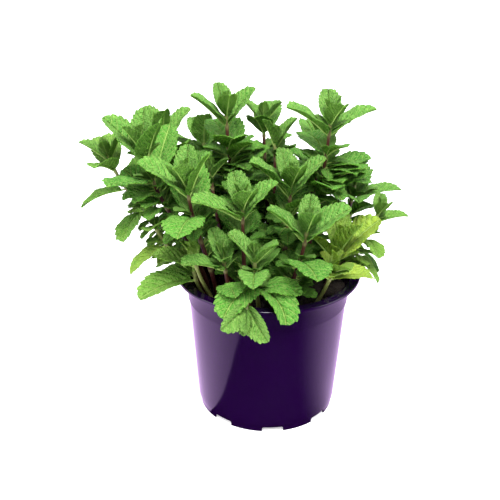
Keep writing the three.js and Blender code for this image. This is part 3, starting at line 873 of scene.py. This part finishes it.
def heart_leaves(shoot, stem):
    """Two tiny crossed pairs at the tip."""
    leaves = []
    for i, (drop, size, angle, fold) in enumerate(HEART_PAIRS):
        for flip in range(2):
            turn = math.radians(shoot.turn + 90 * (3 + i) + 180 * flip + young_dice.uniform(-12, 12))
            lean = math.radians(angle + young_dice.uniform(-4, 6))
            leaves.append(lay_leaf(stem, drop, turn, lean, shoot.leaf * size, HEART_STALK, HEART_ARCH,
                                   math.radians(fold), -1))
    return leaves


def side_leaves(owner):
    """A small pair in the joint of each older leaf, where there is room."""
    shoot, stem, leaves = SHOOTS[owner], stems[owner], []
    for parent in grown[owner]:
        if parent.level < 2:
            continue
        drop = shoot.spread * PAIR_DROPS[parent.level] - 1
        for spread in (-SIDE_SPREAD, SIDE_SPREAD):
            turn = parent.turn + math.radians(spread + young_dice.uniform(-10, 10))
            lean = math.radians(young_dice.uniform(*SIDE_LEAN))
            size = shoot.leaf * young_dice.uniform(*SIDE_SIZES)
            leaf = lay_leaf(stem, drop, turn, lean, size, SIDE_STALK, SIDE_ARCH, math.radians(SIDE_FOLD), 0)
            if settles(leaf, owner):
                leaves.append(leaf)
    return leaves


print("pairs in each heart:", len(HEART_PAIRS))

# %% Twigs
# How many twigs stand round a stem, how far apart their levels are, how far a leaf may reach from the pot's
# axis, how much more for each millimetre up, and how far over the rim that starts.
TWIGS_ROUND, TWIG_STEP = 5, 9
TWIG_REACH, TWIG_OPENING, TWIG_START = 82, 0.5, 15
TWIG_LEAN, TWIG_ARCH, TWIG_STALK, TWIG_SHRINK, TWIG_FOLD = (40, 84), (0.3, 0.9), (3, 9), (0.88, 1), 18
# Each pass fills what the last one left: how far below the tip it starts, and the sizes that it tries.
TWIG_PASSES = [(38, (0.95, 0.8)), (42, (0.66, 0.54)), (34, (0.46, 0.36)), (39, (0.6, 0.44, 0.3)),
               (36, (0.5, 0.32)), (32, (0.36, 0.24))]


def crown_reach(leaf):
    """How far from the pot's axis a twig's leaf may reach."""
    return TWIG_REACH + TWIG_OPENING * max(0, leaf.base[2] - POT_HEIGHT / MM - TWIG_START)


def twig_leaves(owner, drops, sizes):
    """Leaves on short twigs at drops down a stem, each as large as the room allows."""
    shoot, stem, leaves = SHOOTS[owner], stems[owner], []
    for drop in drops:
        drop += young_dice.uniform(-2, 2)
        start = young_dice.uniform(0, 2 * math.pi)
        for i in range(TWIGS_ROUND):
            turn = start + 2 * math.pi * i / TWIGS_ROUND + young_dice.uniform(-0.3, 0.3)
            lean, arch = math.radians(young_dice.uniform(*TWIG_LEAN)), young_dice.uniform(*TWIG_ARCH)
            stalk, shrink = young_dice.uniform(*TWIG_STALK), young_dice.uniform(*TWIG_SHRINK)
            for size in sizes:
                leaf = lay_leaf(stem, drop, turn, lean, shoot.leaf * size * shrink, stalk, arch,
                                math.radians(TWIG_FOLD), 4)
                if settles(leaf, owner, crown_reach(leaf)):
                    leaves.append(leaf)
                    break
    return leaves


print("passes over the twigs:", len(TWIG_PASSES))

# %% Leaves over the rim
# Two broad leaves of the front shoot: how far down the stem they start, which way they point and how far up,
# in degrees, their length, and how far they arch and fold, in degrees.
OVER_RIM_LEAVES = [(27, -124, 35, 38, 95, 14), (31, -52, 42, 36, 135, 38)]


def arching_leaves(owner):
    """Leaves laid over the rim one by one, as listed."""
    stem, leaves = stems[owner], []
    for drop, turn, rise, length, arch, fold in OVER_RIM_LEAVES:
        turn, rise = math.radians(turn), math.radians(rise)
        out = np.array([math.cos(turn) * math.cos(rise), math.sin(turn) * math.cos(rise), math.sin(rise)])
        face = unit(np.array([0, 0, 1]) - out * out[2])
        leaf = SimpleNamespace(
            base=frame_at(stem, stem.whole - drop)[0], out=out, face=face, side=np.cross(out, face),
            length=length, petiole=3, arch=math.radians(arch), fold=math.radians(fold), level=3, turn=turn,
        )
        take(leaf_samples(leaf), owner, 1)
        leaves.append(leaf)
    return leaves


print("leaves over the rim:", len(OVER_RIM_LEAVES))

# %% All the added leaves
names = [shoot.name for shoot in SHOOTS]
grown[names.index("front_low")] += arching_leaves(names.index("front_low"))
for owner, (shoot, stem) in enumerate(zip(SHOOTS, stems)):
    grown[owner] += heart_leaves(shoot, stem)
for owner in range(len(SHOOTS)):
    grown[owner] += side_leaves(owner)
for first, sizes in TWIG_PASSES:
    for owner, stem in enumerate(stems):
        if not stem.hangs:
            drops = np.arange(first, stem.whole - ROOT_DEPTH - 14, TWIG_STEP)
            grown[owner] += twig_leaves(owner, drops, sizes)
print("with young leaves:", sum(len(leaves) for leaves in grown))

# %% [markdown]
# ## One leaf, made well
# A mint leaf is a puckered sheet: its veins are sunk into the upper face, the blade swells between them, and
# the margin has teeth that point to the tip. Modelling each of some hundreds of leaves by hand would take
# days, so one flat leaf is made with care and then copied and bent. It is a grid whose rows are set at the
# points and notches of the teeth, and its vertices are then moved to the outline, as a sculptor's grab brush
# would. It is kept one unit long. A middle-sized and a small leaf have fewer teeth and fewer faces. Its UV
# map holds the flat shape, so that the veins of the material land on the swells of the mesh.

# %% The flat leaf
VEINS, VEIN_SLOPE, VEIN_CURVE = 7.5, 0.7, 1.1
RIB_GROOVE = 0.03
TOOTH_DEPTH = 0.1
TOOTH_FORWARD = 0.35
LAST_TOOTH = 0.93
SWELL = 0.021
# How far out the tooth's edge stands at each quarter of the tooth: it slopes out and drops back.
TOOTH_EDGE = (0.0, 0.6, 0.9, 1.0)
COLUMNS = {14: (0, 0.07, 0.2, 0.38, 0.57, 0.76, 0.91, 1), 10: (0, 0.09, 0.3, 0.55, 0.8, 1),
           6: (0, 0.2, 0.6, 1)}


def vein_phase(share, aside):
    """A number that is whole along each side vein. The veins run forward and curve to the tip."""
    return VEINS * (share - VEIN_SLOPE * aside - VEIN_CURVE * aside**2)


def give_leaf_map(mesh, places=None):
    """Names a mesh's UV map, or makes one. It can be filled with a flat place for each point."""
    layer = mesh.uv_layers.active or mesh.uv_layers.new()
    layer.name = "leaf_map"
    for loop in mesh.loops if places else ():
        layer.data[loop.index].uv = places[loop.vertex_index]


def give_tone(mesh, tone):
    """Gives all points of a mesh one tone, or each its own: red, green and blue."""
    if "tone" not in mesh.color_attributes:
        mesh.color_attributes.new("tone", "FLOAT_COLOR", "POINT")
    colours = np.ones((len(mesh.vertices), 4))
    colours[:, :3] = tone
    mesh.color_attributes["tone"].data.foreach_set("color", colours.ravel())


def flat_leaf(name, teeth, columns):
    """A flat toothed blade, one unit long, with its base at the origin and its tip along X."""
    quarters = len(TOOTH_EDGE)
    rows = [(LAST_TOOTH * (i // quarters + i % quarters / quarters) / teeth, TOOTH_EDGE[i % quarters])
            for i in range(teeth * quarters)]
    rows += [(LAST_TOOTH + (1 - LAST_TOOTH) * t, t**0.3) for t in (0, 0.35, 0.65, 0.87, 1)]
    deselect_all()
    bpy.ops.mesh.primitive_grid_add(
        x_subdivisions=len(rows) - 1, y_subdivisions=columns, size=1, calc_uvs=True
    )
    blade = bpy.context.object
    blade.name = name
    across = COLUMNS[columns]
    flat = []
    for vertex in blade.data.vertices:
        row = round((vertex.co.x + 0.5) * (len(rows) - 1))
        column = round((vertex.co.y + 0.5) * columns) - columns // 2
        share, edge = rows[row]
        out = across[abs(column)]
        outline = LEAF_ASPECT * math.sin(math.pi * min(share, 1) ** WIDEST_AT) ** OUTLINE_FULLNESS
        outline = max(outline, 0.02 if share < 0.5 else 0)
        tooth = TOOTH_DEPTH * (1 - edge) * out**5
        aside = outline * out * (1 - tooth)
        forward = TOOTH_FORWARD * edge * out**5 * LAST_TOOTH / teeth if share < LAST_TOOTH else 0
        share += forward
        swell = abs(math.sin(math.pi * vein_phase(share, aside))) ** 0.8
        off_rib = min(1, aside / RIB_GROOVE)
        relief = SWELL * (swell - 0.4) * off_rib * (1 - out**4) - 0.006 * (1 - off_rib)
        side = math.copysign(aside, column)
        vertex.co = (share, side, relief)
        flat.append((share, side + 0.5))
    give_leaf_map(blade.data, flat)
    edit_all()
    bpy.ops.mesh.remove_doubles(threshold=1e-4)
    bpy.ops.object.mode_set(mode="OBJECT")
    give_tone(blade.data, (0, 0, 0))
    return blade


large_blade = flat_leaf("large_blade", 9, 14)
middle_blade = flat_leaf("middle_blade", 7, 10)
small_blade = flat_leaf("small_blade", 5, 6)
print("faces:", [len(b.data.polygons) for b in (large_blade, middle_blade, small_blade)])

# %% The stalk and midrib
RIB_RINGS = 12
RIB_END = 0.86  # the share of the blade that the rib runs along
deselect_all()
bpy.ops.mesh.primitive_circle_add(
    vertices=6, radius=1, fill_type="NGON", rotation=(0, math.pi / 2, 0), calc_uvs=True
)
rib_master = bpy.context.object
rib_master.name = "midrib"
bpy.ops.object.transform_apply(rotation=True)
edit_all()
for _ in range(RIB_RINGS):
    step = {"value": (1 / RIB_RINGS, 0, 0)}
    bpy.ops.mesh.extrude_region_move(TRANSFORM_OT_translate=step)
finish_edit()
give_leaf_map(rib_master.data, [(vertex.co.x, 0.5) for vertex in rib_master.data.vertices])
give_tone(rib_master.data, (0, 0, 0))
print("rib:", len(rib_master.data.polygons), "faces")

# %% [markdown]
# ## Leaf finish
# The upper face is a satin mid green. Its midrib and side veins are paler, with a fine net between them, and
# no two leaves have quite the same green: each carries a tone that says how light it is, how yellow, and how
# much pale bloom it has. Painted shade darkens the blade beside the veins and the net, and the middle of each
# swell is painted lighter. The underside is paler and duller. The veins are drawn with sums on the UV map. A
# painted picture would do it too, but sums stay sharp at any distance.


# %% Leaf materials
def tone_of(tree):
    """The tone that a shoot's points carry, as red, green and blue."""
    carried = node(tree, "Attribute", attribute_name="tone").outputs["Color"]
    return node(tree, "SeparateColor", {"Color": carried}).outputs


BLOOM = (0.16, 0.28, 0.075, 1)  # the fine pale hairs of a young leaf
NET_CELLS = 19  # cells of the net of veins along a leaf


def leaf_material(name, dark, light, yellow, vein, roughness, relief):
    """A leaf's skin: its colours from dark to light, the colour it yellows to, and its vein colour."""
    material, tree, shader = new_material(name)
    flat = node(tree, "UVMap", uv_map="leaf_map").outputs["UV"]
    apart = node(tree, "SeparateXYZ", {"Vector": flat})
    share, side = apart.outputs["X"], apart.outputs["Y"]
    aside = math_of(tree, "ABSOLUTE", math_of(tree, "SUBTRACT", side, 0.5))
    slope = math_of(tree, "MULTIPLY_ADD", math_of(tree, "MULTIPLY", aside, aside), VEIN_CURVE,
                    math_of(tree, "MULTIPLY", aside, VEIN_SLOPE))
    phase = math_of(tree, "MULTIPLY", math_of(tree, "SUBTRACT", share, slope), VEINS)
    off_vein = math_of(tree, "PINGPONG", phase, 0.5)
    midrib = fade(tree, aside, 0.006, 0.024)
    laterals = fade(tree, off_vein, 0.02, 0.11)
    spread = node(tree, "VectorMath", {0: flat, 1: (NET_CELLS, NET_CELLS, 0)}, operation="MULTIPLY").outputs[0]
    net = node(tree, "TexVoronoi", {"Vector": spread, "Scale": 1.0}, feature="DISTANCE_TO_EDGE")
    net_line = fade(tree, net.outputs["Distance"], 0.0, 0.13)
    tone = tone_of(tree)
    mottle = noise(tree, 420, 3.0)
    lightness = math_of(tree, "MULTIPLY_ADD", mottle, 1.1,
                        math_of(tree, "SUBTRACT", tone["Red"], 0.84))
    # Painted shade: the blade is darker in the creases beside the side veins and the net, and lighter in the
    # middle of each swell.
    lightness = math_of(tree, "MULTIPLY_ADD", off_vein, 0.35, lightness)
    lightness = math_of(tree, "MULTIPLY_ADD", net.outputs["Distance"], 0.9, lightness, clamp=True)
    green = blend_colours(tree, lightness, dark, light)
    bloom = math_of(tree, "MULTIPLY", tone["Blue"], mottle)
    green = blend_colours(tree, bloom, green, BLOOM)
    yellowing = math_of(tree, "MULTIPLY", tone["Green"],
                        math_of(tree, "MULTIPLY_ADD", noise(tree, 130, 2.0), 1.2, 0.35), clamp=True)
    skin = blend_colours(tree, yellowing, green, yellow)
    veined = math_of(tree, "MAXIMUM", math_of(tree, "MULTIPLY", midrib, 0.85),
                     math_of(tree, "MAXIMUM", math_of(tree, "MULTIPLY", laterals, 0.62),
                             math_of(tree, "MULTIPLY", net_line, 0.4)))
    pillow = math_of(tree, "MULTIPLY", math_of(tree, "POWER", off_vein, 0.6), 0.9)
    lumps = math_of(tree, "MULTIPLY_ADD", net.outputs["Distance"], 1.5, pillow)
    lumps = math_of(tree, "MULTIPLY", lumps, math_of(tree, "SUBTRACT", 1, midrib))
    hairs = noise(tree, 2600, 1.0)
    height = math_of(tree, "MULTIPLY_ADD", hairs, 0.12, lumps)
    feed(tree, shader, {
        "Base Color": blend_colours(tree, veined, skin, vein), "Roughness": roughness,
        "Specular IOR Level": 0.08, "Normal": bump(tree, height, relief), "Subsurface Weight": 0.12,
        "Subsurface Radius": (0.0006, 0.0012, 0.0003), "Subsurface Scale": 1.0,
    })
    return material


leaf_top = leaf_material(
    "mint_leaf_upper", (0.016, 0.135, 0.006, 1), (0.094, 0.255, 0.008, 1), (0.22, 0.33, 0.02, 1),
    (0.20, 0.42, 0.05, 1), 0.62, 0.0032,
)
leaf_under = leaf_material(
    "mint_leaf_under", (0.024, 0.145, 0.014, 1), (0.10, 0.33, 0.04, 1), (0.26, 0.36, 0.04, 1),
    (0.28, 0.42, 0.10, 1), 0.65, 0.0015,
)
print("leaf materials made")

# %% [markdown]
# Mint stems are square with rounded edges. They are dark red-brown below and turn green under the tip, with
# fine streaks along them and a pale ring at each joint.

# %% Stem material
stem_skin, tree, shader = new_material("mint_stem")
tone = tone_of(tree)
stretched = node(tree, "Mapping", {"Vector": object_place(tree), "Scale": (1500, 1500, 60)})
streaks = noise(tree, 1.0, 3.0, stretched.outputs["Vector"])
red = blend_colours(tree, streaks, (0.018, 0.003, 0.005, 1), (0.085, 0.016, 0.013, 1))
young = blend_colours(tree, streaks, (0.13, 0.15, 0.035, 1), (0.23, 0.30, 0.08, 1))
greenness = math_of(tree, "ADD", tone["Red"],
                    math_of(tree, "MULTIPLY", math_of(tree, "SUBTRACT", streaks, 0.5), 0.5), clamp=True)
skin = blend_colours(tree, greenness, red, young)
ringed = blend_colours(tree, math_of(tree, "MULTIPLY", tone["Green"], 0.55), skin,
                       (0.26, 0.27, 0.10, 1))
feed(tree, shader, {"Base Color": ringed, "Roughness": 0.38, "Normal": bump(tree, streaks, 0.2 * MM, 0.8)})
print("stem material made")

# %% [markdown]
# ## Dressing each shoot
# A shoot is put together as it grows: a curve with a rounded square section becomes the stem and swells a
# little at each joint; then copies of the leaf masters are bent along their arches, each with its own wave in
# the margin. A solidify modifier gives the blades their thickness and puts the underside's material below.

# %% A stem
STEM_RESOLUTION = 60
SECTION_SQUARENESS = 1.45  # how far the section's handles stand out, against those of a circle
JOINT_SWELL, JOINT_REACH, JOINT_RING = 0.3, 1.6, 1.1
# How far below its tip a stem is still green, in millimetres, where that is more than usual.
USUAL_GREEN = 10
GREEN_LENGTHS = {"front_low": 90, "far_right": 60, "left_bottom": 60, "right_low": 60, "low_left": 60,
                 "left_rim": 40, "far_left": 40}
bpy.ops.curve.primitive_bezier_circle_add(radius=1)
section = bpy.context.object
section.name = "stem_section"
section.data.resolution_u = 3
section.data.dimensions = "2D"
for point in section.data.splines[0].bezier_points:
    point.handle_left_type = point.handle_right_type = "FREE"
    centre = point.co.copy()
    for handle in ("handle_left", "handle_right"):
        offset = getattr(point, handle) - centre
        setattr(point, handle, centre + offset * SECTION_SQUARENESS)


def points_of(mesh):
    """The places of a mesh's vertices, as rows of an array."""
    places = np.empty(len(mesh.vertices) * 3)
    mesh.vertices.foreach_get("co", places)
    return places.reshape(-1, 3)


def stem_mesh(shoot, stem):
    """The stem as a mesh: its Bezier curve, bevelled with the rounded square section."""
    deselect_all()
    bpy.ops.curve.primitive_bezier_curve_add()
    curve = bpy.context.object
    curve.name = "stem_" + shoot.name
    curve.data.dimensions = "3D"
    curve.data.resolution_u = STEM_RESOLUTION
    curve.data.bevel_mode = "OBJECT"
    curve.data.bevel_object = section
    curve.data.use_fill_caps = True
    foot, low, high, tip = (Vector(p * MM) for p in stem.points)
    first, last = curve.data.splines[0].bezier_points
    for point, place, left, right, width in (
        (first, foot, foot - (low - foot), low, STEM_WIDTH_LOW),
        (last, tip, high, tip + (tip - high), STEM_WIDTH_TIP),
    ):
        point.handle_left_type = point.handle_right_type = "FREE"
        point.co, point.handle_left, point.handle_right = place, left, right
        point.radius = width / 2 * MM
    bpy.ops.object.convert(target="MESH")
    piece = bpy.context.object
    swell_joints(shoot, stem, piece.data)
    return piece


def swell_joints(shoot, stem, mesh):
    """Swells a stem at its joints and gives it its tone: green at the tip, pale at the joints."""
    place = points_of(mesh) / MM
    lengths = np.linspace(0, stem.whole, 400)
    middles = np.stack([np.interp(lengths, stem.lengths, stem.steps[:, i]) for i in range(3)], axis=1)
    nearest = np.argmin(np.linalg.norm(place[:, None] - middles[None], axis=2), axis=1)
    length, axis = lengths[nearest], middles[nearest]
    joints = [stem.whole - shoot.spread * PAIR_DROPS[level] for level in range(shoot.pairs)]
    off_joint = np.min([np.abs(length - joint) for joint in joints], axis=0)
    swell = JOINT_SWELL * np.exp(-((off_joint / JOINT_REACH) ** 2))
    place = axis + (place - axis) * (1 + swell)[:, None]
    mesh.vertices.foreach_set("co", (place * MM).ravel())
    tone = np.zeros((len(mesh.vertices), 3))
    tone[:, 0] = np.clip(1 - (stem.whole - length) / GREEN_LENGTHS.get(shoot.name, USUAL_GREEN), 0, 1) ** 0.7
    tone[:, 1] = np.exp(-((off_joint / JOINT_RING) ** 2))
    give_tone(mesh, tone)
    give_leaf_map(mesh)


print("stem section:", len(section.data.splines[0].bezier_points), "corners")

# %% The tone of a leaf
# Shoots that stand low and shaded have yellowing leaves.
YELLOWING = {
    "low_right": 1.3, "right_low": 1.6, "left_bottom": 0.7, "low_left": 0.45, "left_rim": 0.3,
    "far_right": 0.3, "far_left": 0.2, "left_back": 0.12, "over_rim": 0.15,
}
# Shoots whose leaves are lighter, as those at the front are, or darker than the rest.
LIGHTNESS = {
    "front_low": -0.02, "over_rim": 0, "left_rim": 0.05, "left_front": -0.04, "left_tall": 0,
    "far_left": 0.08, "front_left": -0.08, "centre_front": -0.1, "mid_right": -0.05,
    "front_right": -0.1, "centre": -0.15, "back_low": -0.1, "right_mid": -0.08,
}
# How light and how bloomy a leaf is at each level down its stem.
AGE_LIGHT = {-1: 0.78, 0: 0.7, 1: 0.62, 2: 0.54, 3: 0.46, 4: 0.42, 5: 0.38}
AGE_BLOOM = {-1: 1.1, 0: 0.9, 1: 0.8, 2: 0.55, 3: 0.15, 4: 0.15, 5: 0.15}
look_dice = random.Random(21)


def leaf_tone(shoot, leaf):
    """How light, yellow and bloomy a leaf is: young ones are light and pale, old low ones turn yellow."""
    light = AGE_LIGHT[leaf.level] + LIGHTNESS.get(shoot.name, 0) + look_dice.uniform(-0.2, 0.2)
    low = max(0, leaf.level - 1) / 4
    yellow = YELLOWING.get(shoot.name, 0.04) * (0.4 + low) * look_dice.uniform(0.5, 1.5)
    return light, min(yellow, 0.9), AGE_BLOOM[leaf.level]


print("shoots with yellow leaves:", len(YELLOWING))

# %% Bending the masters
# Leaves longer than these, in millimetres, are copies of the large and of the middle-sized blade. Those of
# twigs stand in the shade and make do with a smaller one.
BLADE_LENGTHS, TWIG_BLADE_LENGTHS = (23, 13), (36, 26)


def bent_copy(master, leaf, tone, shape):
    """A copy of a flat master, with its vertices put where shape(share, side, height) says."""
    piece = copy_of(master)
    mesh = piece.data
    bent = leaf_points(leaf, *shape(*points_of(mesh).T)) * MM
    mesh.vertices.foreach_set("co", bent.ravel())
    give_tone(mesh, tone)
    return piece


def make_blade(leaf, tone):
    """A blade, with waves in its margin and its own small twist and sweep."""
    large, middle = TWIG_BLADE_LENGTHS if leaf.level == 4 else BLADE_LENGTHS
    master = large_blade if leaf.length > large else middle_blade if leaf.length > middle else small_blade
    wave, phase = look_dice.uniform(0.010, 0.024), look_dice.uniform(0, 1)
    sweep, twist = look_dice.uniform(-0.05, 0.05), look_dice.uniform(-0.12, 0.12)
    curl = look_dice.uniform(0.02, 0.06)

    def shape(share, side, relief):
        out = np.abs(side) / LEAF_ASPECT
        ripple = wave * out**2 * np.sin(2 * np.pi * (2.4 * share + phase + 0.3 * np.sign(side)))
        soft_fold = -0.01 * np.exp(-np.abs(side) / 0.02)
        height = relief + ripple + twist * side * share - curl * out**3 + soft_fold
        sideways = side + sweep * share**2
        return leaf.petiole + share * leaf.length, sideways * leaf.length, height * leaf.length

    return bent_copy(master, leaf, tone, shape), sweep


def make_rib(leaf, tone, sweep):
    """The stalk and the rib under the blade, tapering to nothing short of the tip."""
    whole = leaf.petiole + RIB_END * leaf.length
    thick = 0.34 + 0.012 * leaf.length

    def shape(along, side, up):
        length = along * whole
        share = np.maximum(length - leaf.petiole, 0) / leaf.length
        radius = thick * (1 - 0.92 * along)
        under = np.where(length > leaf.petiole, 0.75 * radius + 0.01 * leaf.length, 0.3 * radius)
        sideways = side * radius + sweep * share**2 * leaf.length
        return length, sideways, up * radius - under

    return bent_copy(rib_master, leaf, tone, shape)


print("blades longer than", BLADE_LENGTHS, "mm get more teeth")

# %% All shoots
LEAF_THICKNESS = 0.34 * MM
LEAF_SMOOTHING = math.radians(55)


def dress_shoot(owner):
    """One finished shoot as one piece, in place of its node."""
    shoot, stem = SHOOTS[owner], stems[owner]
    blades, ribs = [], []
    for leaf in grown[owner]:
        tone = leaf_tone(shoot, leaf)
        blade, sweep = make_blade(leaf, tone)
        blades.append(blade)
        ribs.append(make_rib(leaf, tone, sweep))
    foliage = join_pieces(blades, "foliage")
    foliage.data.materials.append(leaf_top)
    foliage.data.materials.append(leaf_under)
    apply_modifier(foliage, "SOLIDIFY", thickness=LEAF_THICKNESS, offset=-1, material_offset=1)
    stalks = join_pieces(ribs, "stalks")
    stalks.data.materials.append(leaf_under)
    stalk = stem_mesh(shoot, stem)
    stalk.data.materials.clear()
    stalk.data.materials.append(stem_skin)
    piece = join_pieces([foliage, stalks, stalk], "mint_shoot_" + shoot.name)
    select_only([piece])
    bpy.ops.object.shade_smooth_by_angle(angle=LEAF_SMOOTHING)
    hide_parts("leafy_stem_" + shoot.name)
    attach(piece, "root")
    return piece


shoots = [dress_shoot(owner) for owner in range(len(SHOOTS))]
for master in (large_blade, middle_blade, small_blade, rib_master, section):
    bpy.data.objects.remove(master)
triangles = [sum(len(p.vertices) - 2 for p in piece.data.polygons) for piece in shoots]
print("shoots:", len(shoots), "triangles:", sum(triangles), "most in one:", max(triangles))
